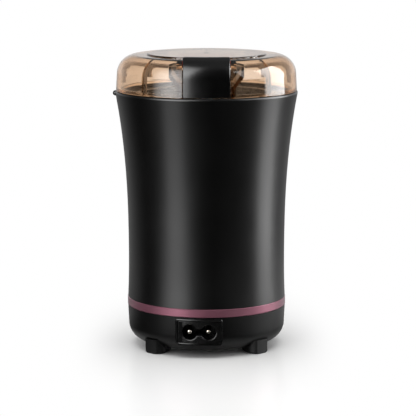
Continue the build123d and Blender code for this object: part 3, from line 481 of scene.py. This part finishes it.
print("the sheet melts from", FLOOR_NEAR, "to", round(FLOOR_FAR, 4), "m")

# %% [markdown]
# ## What the casing mirrors of the table
# A glossy black casing mirrors the table as well, and a white one would grey
# its whole lower half. So in glossy rays the sheet gives way, from under the
# base outwards, to a dark emission until it is nearly black, so the casing
# mirrors painted shade there. Behind the grinder a quarter of its white is
# left, which draws the casing's edges. On the right the emission glows a
# little: a painted glow that stands for a table lit by a lamp.

# %% Painted reflection of the table
DIM_FROM, DIM_TO = 0.01, 0.06
DIM_BEHIND, DIM_BEHIND_AT = 0.76, 0.05
PAINTED_GLOW_LEFT, PAINTED_GLOW_RIGHT = 0.012, 0.22
PAINTED_GLOW_FROM, PAINTED_GLOW_TO = 0.035, 0.07

# Painted shade: in glossy rays the sheet is swapped for a dark emission, more fully the farther
# it is from the base.
dim = add(
    tree,
    "ShaderNodeMapRange",
    {"From Min": DIM_FROM, "From Max": DIM_TO},
    {"Value": distance.outputs["Value"]},
    interpolation_type="SMOOTHSTEP",
)
across = add(tree, "ShaderNodeSeparateXYZ", links={"Vector": place})
dim_behind = add(
    tree,
    "ShaderNodeMapRange",
    {"From Min": 0.0, "From Max": DIM_BEHIND_AT, "To Min": 1.0, "To Max": DIM_BEHIND},
    {"Value": across.outputs["Y"]},
)
dim_part = add(
    tree,
    "ShaderNodeMath",
    links={0: dim.outputs["Result"], 1: dim_behind.outputs["Result"]},
    operation="MULTIPLY",
)
painted_reflection_share = add(
    tree,
    "ShaderNodeMath",
    links={0: dim_part.outputs[0], 1: path.outputs["Is Glossy Ray"]},
    operation="MULTIPLY",
)
# Painted glow: the emission that replaces the sheet grows brighter towards the right.
painted_table_glow = add(
    tree,
    "ShaderNodeMapRange",
    {"From Min": PAINTED_GLOW_FROM, "From Max": PAINTED_GLOW_TO, "To Min": PAINTED_GLOW_LEFT, "To Max": PAINTED_GLOW_RIGHT},
    {"Value": across.outputs["X"]},
)
painted_table_reflection = add(
    tree,
    "ShaderNodeEmission",
    {"Color": linear("#ffffff")},
    {"Strength": painted_table_glow.outputs["Result"]},
)
shown = add(
    tree,
    "ShaderNodeMixShader",
    links={
        "Fac": painted_reflection_share.outputs[0],
        1: melt.outputs["Shader"],
        2: painted_table_reflection.outputs["Emission"],
    },
)
tree.links.new(shown.outputs["Shader"], output.inputs["Surface"])
floor.data.materials.append(acrylic)
print("mirrored table glows", PAINTED_GLOW_LEFT, "on the left and", PAINTED_GLOW_RIGHT, "on the right")

# %% [markdown]
# ## A grained skin
# Plastic, rubber and lacquered metal differ in their numbers, and one tree
# fits them all: a colour that drifts between two close shades, a polish that
# drifts too, and a fine relief from a noise that feeds a bump. A bump costs
# no geometry, which is right for a grain that no one can feel. Where a tool
# has drawn the relief out into lines, the scale of a direction says how fast
# the pattern changes along it.

# %% Grained skin


def grained(
    name, colour, polish, grain, shader, strength=0.25, detail=2.0, distortion=0.0, draw_out=None
):
    """A material with a drifting colour, a drifting polish and a fine relief.

    colour and polish give the width of their patches in mm and the two ends they drift between,
    grain its width and depth in mm, and shader the values of the shader's own sockets.
    """
    made, tree, output = new_material(name)
    place = add(tree, "ShaderNodeTexCoord").outputs["Object"]
    over = place
    if draw_out is not None:
        drawn = add(tree, "ShaderNodeMapping", {"Scale": draw_out}, {"Vector": place})
        over = drawn.outputs["Vector"]
    grains = add(
        tree,
        "ShaderNodeTexNoise",
        {"Scale": pattern(grain[0]), "Detail": detail, "Distortion": distortion},
        {"Vector": over},
    )
    dents = add(
        tree,
        "ShaderNodeBump",
        {"Strength": strength, "Distance": grain[1] * MM},
        {"Height": grains.outputs["Fac"]},
    )
    skin = add(tree, "ShaderNodeBsdfPrincipled", shader, {"Normal": dents.outputs["Normal"]})
    tree.links.new(tint(tree, *colour, place), skin.inputs["Base Color"])
    tree.links.new(spread(tree, *polish, place), skin.inputs["Roughness"])
    tree.links.new(skin.outputs["BSDF"], output.inputs["Surface"])
    return made


print("grained skins ready")

# %% [markdown]
# ## Black ABS casing
# Housing and base are injection-moulded ABS, dyed black in the mass. The
# mould was spark-eroded, so the skin carries a very fine grain that turns
# sharp reflections into soft streaks. ABS has an IOR near 1.54. The real
# grain is about a twentieth of a millimetre wide, too fine to draw, so it is
# drawn a quarter of a millimetre wide.

# %% Moulded black ABS
casing_abs = grained(
    "black_abs_spark_grain",
    colour=(18, "#020202", "#040404"),
    polish=(22, 0.28, 0.32),
    grain=(0.25, 0.02),
    shader={"IOR": 1.54},
)
put_on(casing_abs, "upper_housing", "base_housing")

# %% [markdown]
# ## Rose band
# The band between housing and base is thin aluminium, turned, then covered
# with a rose lacquer. The lacquer gives the plum colour from every side, and
# the metal under it gives the tinted streaks. Turning leaves fine lines round
# the band, about a tenth of a millimetre apart, drawn at a third. They hardly
# change along the band, so their scale is small in X and Y.

# %% Rose lacquered aluminium
rose_metal = grained(
    "rose_lacquered_aluminium",
    colour=(12, "#835060", "#8a5666"),
    polish=(9, 0.34, 0.42),
    grain=(0.33, 0.01),
    shader={"Metallic": 0.65, "Coat Weight": 0.8, "Coat Roughness": 0.2, "Coat IOR": 1.5},
    strength=0.2,
    draw_out=(0.03, 0.03, 1.0),
)
put_on(rose_metal, "accent_ring")

# %% [markdown]
# ## Amber lid
# The lid is clear polycarbonate, moulded with a brown-amber dye. Its IOR is
# 1.585, higher than window glass, so its edges sparkle. The dye sits in the
# mass, so the colour belongs in the volume: a thin wall looks like weak tea
# and a rib seen along its length is nearly black. The density is per metre.
# The dye's colour is the share of linear red, green and blue that it lets
# pass, so it is written in linear numbers. Broad, very shallow waves in the
# moulding keep the reflections alive.

# %% Amber polycarbonate
DYE_PASSES = (0.765, 0.40, 0.0, 1.0)
DYE_DENSITY = 225.0

amber, tree, output = new_material("amber_polycarbonate")
place = add(tree, "ShaderNodeTexCoord").outputs["Object"]
waves = add(
    tree, "ShaderNodeTexNoise", {"Scale": pattern(9.0), "Detail": 1.0}, {"Vector": place}
)
sink = add(
    tree,
    "ShaderNodeBump",
    {"Strength": 0.3, "Distance": 0.05 * MM},
    {"Height": waves.outputs["Fac"]},
)
skin = add(
    tree,
    "ShaderNodeBsdfPrincipled",
    {"Base Color": linear("#ffffff"), "IOR": 1.585, "Transmission Weight": 1.0},
    {"Normal": sink.outputs["Normal"]},
)
tree.links.new(spread(tree, 14, 0.015, 0.05, place), skin.inputs["Roughness"])
dye = add(tree, "ShaderNodeVolumeAbsorption", {"Color": DYE_PASSES, "Density": DYE_DENSITY})
tree.links.new(skin.outputs["BSDF"], output.inputs["Surface"])
tree.links.new(dye.outputs["Volume"], output.inputs["Volume"])
put_on(amber, "lid_shell")

# %% [markdown]
# ## Button, deck, inlet and switch
# These are four more black or dark plastics, each with its own skin. The
# button is satin ABS that fingers have polished. Its IOR is set above that of
# plain ABS, matched to the bright streak on it. The deck round the
# bowl is glass-filled nylon, a little greyer and duller. The inlet is
# polybutylene terephthalate, a hard electrical plastic with a smooth,
# slightly waxy face, and the switch's case is brown-black phenolic. Their
# real grain is too fine to draw, so it is drawn 0.3 to 0.5 mm wide.

# %% Satin ABS, nylon and electrical plastic
DYE_PATCH_MM = 7
POLISH_PATCH_MM = 5


def black_plastic(name, dark, light, low_rough, high_rough, grain_mm, grain_depth, ior):
    """A black moulded plastic with uneven dye, uneven polish and a fine grain."""
    return grained(
        name,
        colour=(DYE_PATCH_MM, dark, light),
        polish=(POLISH_PATCH_MM, low_rough, high_rough),
        grain=(grain_mm, grain_depth),
        shader={"IOR": ior},
    )


put_on(
    black_plastic("satin_black_abs", "#020202", "#040404", 0.22, 0.26, 0.3, 0.01, 1.66),
    "press_button",
)
put_on(
    black_plastic("glass_filled_nylon", "#101010", "#171716", 0.42, 0.52, 0.4, 0.03, 1.53),
    "bowl_carrier",
)
put_on(
    black_plastic("black_pbt", "#060606", "#0a0a0a", 0.24, 0.30, 0.3, 0.01, 1.55),
    "inlet_socket",
)
put_on(
    black_plastic("phenolic_switch_case", "#121110", "#1c1a18", 0.35, 0.5, 0.5, 0.02, 1.6),
    "microswitch",
)

# %% [markdown]
# ## Rubber and silicone
# The feet and the motor's grommets are black nitrile rubber: almost no shine
# and a faint bloom that greys it in patches. The gasket and the shaft seal are
# grey food-grade silicone, softer to look at, with a little light going into it.

# %% Rubber and silicone
rubber = grained(
    "black_nitrile_rubber",
    colour=(3, "#030303", "#080808"),
    polish=(4, 0.42, 0.55),
    grain=(0.35, 0.03),
    shader={"IOR": 1.52, "Specular IOR Level": 0.25},
    strength=0.3,
    detail=3.0,
)
put_on(
    rubber,
    "foot_front_left", "foot_front_right", "foot_rear_left", "foot_rear_right", "motor_grommets",
)

silicone = grained(
    "grey_silicone",
    colour=(5, "#8b8d8d", "#9a9c9b"),
    polish=(6, 0.45, 0.6),
    grain=(0.6, 0.02),
    shader={"IOR": 1.41, "Subsurface Weight": 0.15, "Subsurface Scale": 1.0 * MM},
    strength=0.2,
)
put_on(silicone, "bowl_gasket", "shaft_seal")

# %% [markdown]
# ## Natural nylon
# The push rod, the switch plunger and the cooling fan are undyed nylon: a
# milky ivory that light enters a little way, with a low waxy shine. The
# plastic swirls as it fills the mould, so its relief is broad and distorted.

# %% Natural nylon
nylon = grained(
    "natural_nylon",
    colour=(6, "#ded8c6", "#e8e3d4"),
    polish=(5, 0.36, 0.48),
    grain=(2.5, 0.03),
    shader={"IOR": 1.53, "Subsurface Weight": 0.25, "Subsurface Scale": 1.5 * MM},
    strength=0.2,
    distortion=0.6,
)
put_on(nylon, "switch_rod", "switch_plunger", "cooling_fan")

# %% [markdown]
# ## Metals, each with the marks of its making
# All metals share one tree: a base colour that drifts between two close
# shades, a roughness that follows a broad noise and the tool marks, and a
# bump for those marks. What differs is the direction and the pitch of the
# marks. The scale of a direction says how fast the pattern changes along it:
# a small number draws the marks out into long lines. Real marks are mostly
# finer than a tenth of a millimetre, so they are drawn coarser, to show.

# %% Tool marks
METAL_SHADE_MM = 4
METAL_POLISH_MM = 6
MARK_ROUGHNESS = 0.03


def metal(name, shades, roughness, mark_mm, mark_depth, draw_out):
    """A metal whose tool marks are mark_mm apart and drawn out where draw_out is small."""
    made, tree, output = new_material(name)
    place = add(tree, "ShaderNodeTexCoord").outputs["Object"]
    drawn = add(tree, "ShaderNodeMapping", {"Scale": draw_out}, {"Vector": place})
    marks = add(
        tree,
        "ShaderNodeTexNoise",
        {"Scale": pattern(mark_mm), "Detail": 3.0},
        {"Vector": drawn.outputs["Vector"]},
    )
    relief = add(
        tree,
        "ShaderNodeBump",
        {"Strength": 0.3, "Distance": mark_depth * MM},
        {"Height": marks.outputs["Fac"]},
    )
    broad = spread(tree, METAL_POLISH_MM, *roughness, place)
    rough = add(
        tree,
        "ShaderNodeMapRange",
        {
            "From Min": NOISE_LOW, "From Max": NOISE_HIGH,
            "To Min": -MARK_ROUGHNESS, "To Max": MARK_ROUGHNESS,
        },
        {"Value": marks.outputs["Fac"]},
    )
    uneven = add(
        tree, "ShaderNodeMath", links={0: broad, 1: rough.outputs["Result"]}, operation="ADD"
    )
    skin = add(
        tree,
        "ShaderNodeBsdfPrincipled",
        {"Metallic": 1.0},
        {"Normal": relief.outputs["Normal"], "Roughness": uneven.outputs[0]},
    )
    tree.links.new(tint(tree, METAL_SHADE_MM, *shades, place), skin.inputs["Base Color"])
    tree.links.new(skin.outputs["BSDF"], output.inputs["Surface"])
    return made


print("tool marks change the roughness by", MARK_ROUGHNESS)

# %% [markdown]
# ## The grinder's metals
# The bowl is drawn and polished round, the blade is ground along its length,
# and the pins are plated over marks that run along them. Each row gives the
# two shades, the roughness from and to, the marks' width and depth in
# millimetres and their direction, then the pieces that wear the metal.

# %% Metals
EVEN = (1.0, 1.0, 1.0)
ROUND = (0.06, 0.06, 1.0)
UPRIGHT = (1.0, 1.0, 0.05)
ALONG_X = (0.06, 1.0, 1.0)
ALONG_Y = (1.0, 0.06, 1.0)

METALS = {
    "deep_drawn_stainless": (
        ("#c3c1bc", "#cfcdc8"), (0.20, 0.30), 0.4, 0.01, ROUND,
        ("grinding_bowl",),
    ),
    "ground_stainless": (
        ("#bdbbb7", "#c9c7c3"), (0.18, 0.28), 0.3, 0.02, ALONG_X,
        ("blade", "blade_nut"),
    ),
    "zinc_plated_steel": (
        ("#b4b6b8", "#c6c8c6"), (0.25, 0.38), 0.5, 0.02, EVEN,
        ("case_screws", "upper_bracket", "lower_bracket", "stator_bolts", "motor_screws",
         "rotor_shaft", "blade_spacer"),
    ),
    "nickel_plated_brass": (
        ("#c9c2b4", "#d3ccc0"), (0.12, 0.20), 0.3, 0.01, ALONG_Y,
        ("inlet_pin_left", "inlet_pin_right"),
    ),
    "spring_steel_wire": (
        ("#8f9193", "#a3a5a7"), (0.22, 0.34), 0.3, 0.01, EVEN,
        ("return_spring",),
    ),
    "punched_lamination_steel": (
        ("#6c6d70", "#85868a"), (0.30, 0.45), 0.5, 0.08, ROUND,
        ("stator_core", "armature_core"),
    ),
    "stamped_brass": (
        ("#b8964e", "#c8a862"), (0.24, 0.36), 0.5, 0.02, UPRIGHT,
        ("brush_holder_front", "brush_holder_rear"),
    ),
    "turned_copper": (
        ("#b0674a", "#c47a5a"), (0.18, 0.30), 0.25, 0.02, ROUND,
        ("commutator",),
    ),
    "sintered_bronze": (
        ("#8a6a45", "#a07f57"), (0.40, 0.55), 0.3, 0.06, EVEN,
        ("upper_bearing", "lower_bearing"),
    ),
}

metals = {}
for name, (*marks, pieces) in METALS.items():
    metals[name] = metal(name, *marks)
    put_on(metals[name], *pieces)

# %% [markdown]
# ## Fine details: a bead round the inlet, domed pin ends, a gate mark
# Three small forms catch light where the solids are plain. The inlet's frame
# ends in a rounded bead, highest at its upper edge. The pins are ground to
# domes, so that a plug slides on, and the lid keeps a small pimple where the
# plastic was injected. Each is a short mesh: rings of points joined into
# faces and shaded smooth. They are placed by the boxes of the nodes that
# carry them, so they always sit right, and each rides on the body of its
# carrier.

# %% Rings into a smooth mesh


def skin_over(name, rings, material, body, closed=False):
    """A mesh over rings of as many points each. A closed one joins the last ring to the first."""
    count, size = len(rings), len(rings[0])
    points = [tuple(point) for ring in rings for point in ring]
    faces = []
    for i in range(count if closed else count - 1):
        ring, following = i * size, (i + 1) % count * size
        for j in range(size):
            k = (j + 1) % size
            faces.append((ring + j, ring + k, following + k, following + j))
    if not closed:
        faces += [tuple(reversed(range(size))), tuple(range((count - 1) * size, count * size))]
    mesh = bpy.data.meshes.new(name)
    mesh.from_pydata(points, [], faces)
    mesh.validate()
    for face in mesh.polygons:
        face.use_smooth = len(face.vertices) == 4
    piece = bpy.data.objects.new(name, mesh)
    bpy.context.scene.collection.objects.link(piece)
    mesh.materials.append(material)
    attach(piece, body)
    print(name, "rides on", body)


# %% [markdown]
# ## Bead round the inlet
# The bead's middle line runs round the inlet's frame, with small corners
# above and large ones below. The inlet's face is bent to the casing's curve,
# so the line is laid on that curve: X and Z give the frame, and Y follows
# from the radius of the face. Oval sections along the line then make the
# bead. Half of each is sunk in the plate, and they grow from nearly flat at
# the lower edge to full at the upper one.

# %% Middle line of the bead
BEAD_HALF_WIDTH = 0.52 * MM
UPPER_CORNER = 0.4 * MM
LOWER_CORNER = 1.4 * MM
CORNER_STEPS = 8
SIDE_STEPS = 14

inlet_low, inlet_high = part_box("inlet_socket")
face_radius = -inlet_low[1]


def corner(x, z, radius, start):
    """A quarter circle round x and z, from the start angle on, in degrees."""
    turns = [math.radians(start + 90 * step / CORNER_STEPS) for step in range(CORNER_STEPS + 1)]
    return [(x + radius * math.cos(turn), z + radius * math.sin(turn)) for turn in turns]


def frame_line():
    """The middle line of the inlet's frame, all the way round, laid on the casing's curve."""
    left, right = inlet_low[0] + BEAD_HALF_WIDTH, inlet_high[0] - BEAD_HALF_WIDTH
    low, high = inlet_low[2] + BEAD_HALF_WIDTH, inlet_high[2] - BEAD_HALF_WIDTH
    corners = (
        corner(right - UPPER_CORNER, high - UPPER_CORNER, UPPER_CORNER, 0),
        corner(left + UPPER_CORNER, high - UPPER_CORNER, UPPER_CORNER, 90),
        corner(left + LOWER_CORNER, low + LOWER_CORNER, LOWER_CORNER, 180),
        corner(right - LOWER_CORNER, low + LOWER_CORNER, LOWER_CORNER, 270),
    )
    line = []
    for here, following in zip(corners, corners[1:] + corners[:1]):
        (x, z), (next_x, next_z) = here[-1], following[0]
        line += here
        line += [
            (x + (next_x - x) * step / SIDE_STEPS, z + (next_z - z) * step / SIDE_STEPS)
            for step in range(1, SIDE_STEPS)
        ]
    return [Vector((x, -math.sqrt(face_radius**2 - x * x), z)) for x, z in line]


middle = frame_line()
print("points on the bead's middle line:", len(middle))

# %% Bead
BEAD_HEIGHT = 0.5 * MM
BEAD_LOW_SHARE = 0.08    # of the height, at the lower edge
BEAD_SIDES = 14

rings = []
for i, point in enumerate(middle):
    outward = Vector((point.x, point.y, 0.0)).normalized()
    along = (middle[(i + 1) % len(middle)] - middle[i - 1]).normalized()
    sideward = along.cross(outward).normalized()
    rise = (1 - BEAD_LOW_SHARE) * (point.z - inlet_low[2]) / (inlet_high[2] - inlet_low[2])
    height = BEAD_HEIGHT * (BEAD_LOW_SHARE + rise)
    rings.append([
        point + sideward * BEAD_HALF_WIDTH * math.cos(a) + outward * height * math.sin(a)
        for a in (2 * math.pi * j / BEAD_SIDES for j in range(BEAD_SIDES))
    ])
gloss_pbt = black_plastic("black_pbt_gloss", "#070707", "#0b0b0b", 0.14, 0.20, 0.3, 0.005, 1.57)
skin_over("inlet_bead", rings, gloss_pbt, "casing", closed=True)

# %% [markdown]
# ## Domes on the pins and on the lid
# A pin's end is ground to half an ellipsoid, a little wider than the pin, so
# that no two faces lie in one place. The gate mark is the same form, only
# very flat. Each dome starts inside its carrier and stops just short of its
# pole, where one small face closes it.

# %% Domed pin ends
DOME_SIDES = 28
DOME_RINGS = 10
DOME_REACH = 88    # degrees
PIN_DOME_LENGTH = 1.1 * MM
PIN_DOME_SUNK = 0.4 * MM
PIN_DOME_WIDER = 0.01 * MM
FORWARDS = Vector((0.0, -1.0, 0.0))
UPWARDS = Vector((0.0, 0.0, 1.0))


def dome(name, foot, radius, height, direction, material, body):
    """Half an ellipsoid on a foot point, bulging in a direction."""
    side = direction.orthogonal().normalized()
    other = direction.cross(side)
    rings = []
    for i in range(DOME_RINGS):
        lift = math.radians(DOME_REACH * i / (DOME_RINGS - 1))
        ring = []
        for j in range(DOME_SIDES):
            turn = 2 * math.pi * j / DOME_SIDES
            out = (side * math.cos(turn) + other * math.sin(turn)) * radius * math.cos(lift)
            ring.append(foot + out + direction * height * math.sin(lift))
        rings.append(ring)
    skin_over(name, rings, material, body)


for pin in ("inlet_pin_left", "inlet_pin_right"):
    low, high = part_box(pin)
    foot = Vector(((low[0] + high[0]) / 2, low[1] + PIN_DOME_SUNK, (low[2] + high[2]) / 2))
    radius = (high[0] - low[0]) / 2 + PIN_DOME_WIDER
    cap = pin.replace("inlet_pin", "pin_dome")
    dome(cap, foot, radius, PIN_DOME_LENGTH, FORWARDS, metals["nickel_plated_brass"], "casing")

# %% Gate mark on the lid
GATE_RADIUS = 1.3 * MM
GATE_HEIGHT = 0.13 * MM
GATE_SUNK = 0.03 * MM

_, lid_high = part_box("lid_shell")
gate_foot = Vector((0.0, 0.0, lid_high[2] - GATE_SUNK))
dome("gate_mark", gate_foot, GATE_RADIUS, GATE_HEIGHT, UPWARDS, amber, "lid")

# %% [markdown]
# ## Enamelled windings
# The coils are wound from copper wire 0.35 mm thick, under a clear amber
# enamel. The turns show as parallel ridges, so a wave texture draws them, and
# a clear coat stands for the enamel. The same wave darkens the copper in the
# grooves and lightens it on the ridges, which is painted shade between the
# turns. Single wires are too fine to draw, so the ridges are about 0.7 mm
# apart, two wires wide.

# %% Enamelled copper
RIDGE_MM = 0.7
WAVES_PER_UNIT = 3.25    # in a wave texture at scale 1, rounded up


def winding(name, direction):
    """Wire turns, drawn as ridges across one axis, under enamel."""
    made, tree, output = new_material(name)
    place = add(tree, "ShaderNodeTexCoord").outputs["Object"]
    turns = add(
        tree,
        "ShaderNodeTexWave",
        {
            "Scale": pattern(RIDGE_MM) / WAVES_PER_UNIT,
            "Distortion": 1.2, "Detail": 1.0, "Detail Scale": 0.4,
        },
        {"Vector": place},
        bands_direction=direction,
    )
    ridges = add(
        tree,
        "ShaderNodeBump",
        {"Strength": 0.8, "Distance": 0.12 * MM},
        {"Height": turns.outputs["Fac"]},
    )
    skin = add(
        tree,
        "ShaderNodeBsdfPrincipled",
        {"Metallic": 0.9, "Coat Weight": 0.6, "Coat Roughness": 0.12, "Coat IOR": 1.6},
        {"Normal": ridges.outputs["Normal"]},
    )
    # Painted shade: the colour follows the ridges, dark in the grooves and light on the crests.
    shade = add(
        tree,
        "ShaderNodeMix",
        {"A": linear("#5a2f1c"), "B": linear("#a8633c")},
        {"Factor": turns.outputs["Fac"]},
        data_type="RGBA",
    )
    tree.links.new(shade.outputs["Result"], skin.inputs["Base Color"])
    tree.links.new(spread(tree, 2, 0.26, 0.4, place), skin.inputs["Roughness"])
    tree.links.new(skin.outputs["BSDF"], output.inputs["Surface"])
    return made


put_on(winding("enamelled_copper_field", "X"), "field_coil_left", "field_coil_right")
put_on(winding("enamelled_copper_armature", "Z"), "armature_winding")

# %% [markdown]
# ## Carbon brushes
# Pressed graphite is a soft dark grey with a dull metallic gleam and fine
# grains, so it is half metallic, rough and lightly pitted. The grains are
# drawn a quarter of a millimetre wide, coarser than they are.

# %% Graphite
graphite = grained(
    "pressed_graphite",
    colour=(1.5, "#26272a", "#34363a"),
    polish=(2, 0.45, 0.6),
    grain=(0.25, 0.03),
    shader={"Metallic": 0.5},
    strength=0.4,
    detail=4.0,
)
put_on(graphite, "carbon_brush_front", "carbon_brush_rear")

# %% [markdown]
# ## Check and finish
# Every node of the frame must wear a finish, and the dressed part must be no
# larger than the solids.

# %% Finish
plain = [
    name for name, piece in nodes.items()
    if any(slot.link != "OBJECT" for slot in piece.material_slots)
]
print("nodes without a finish:", plain)
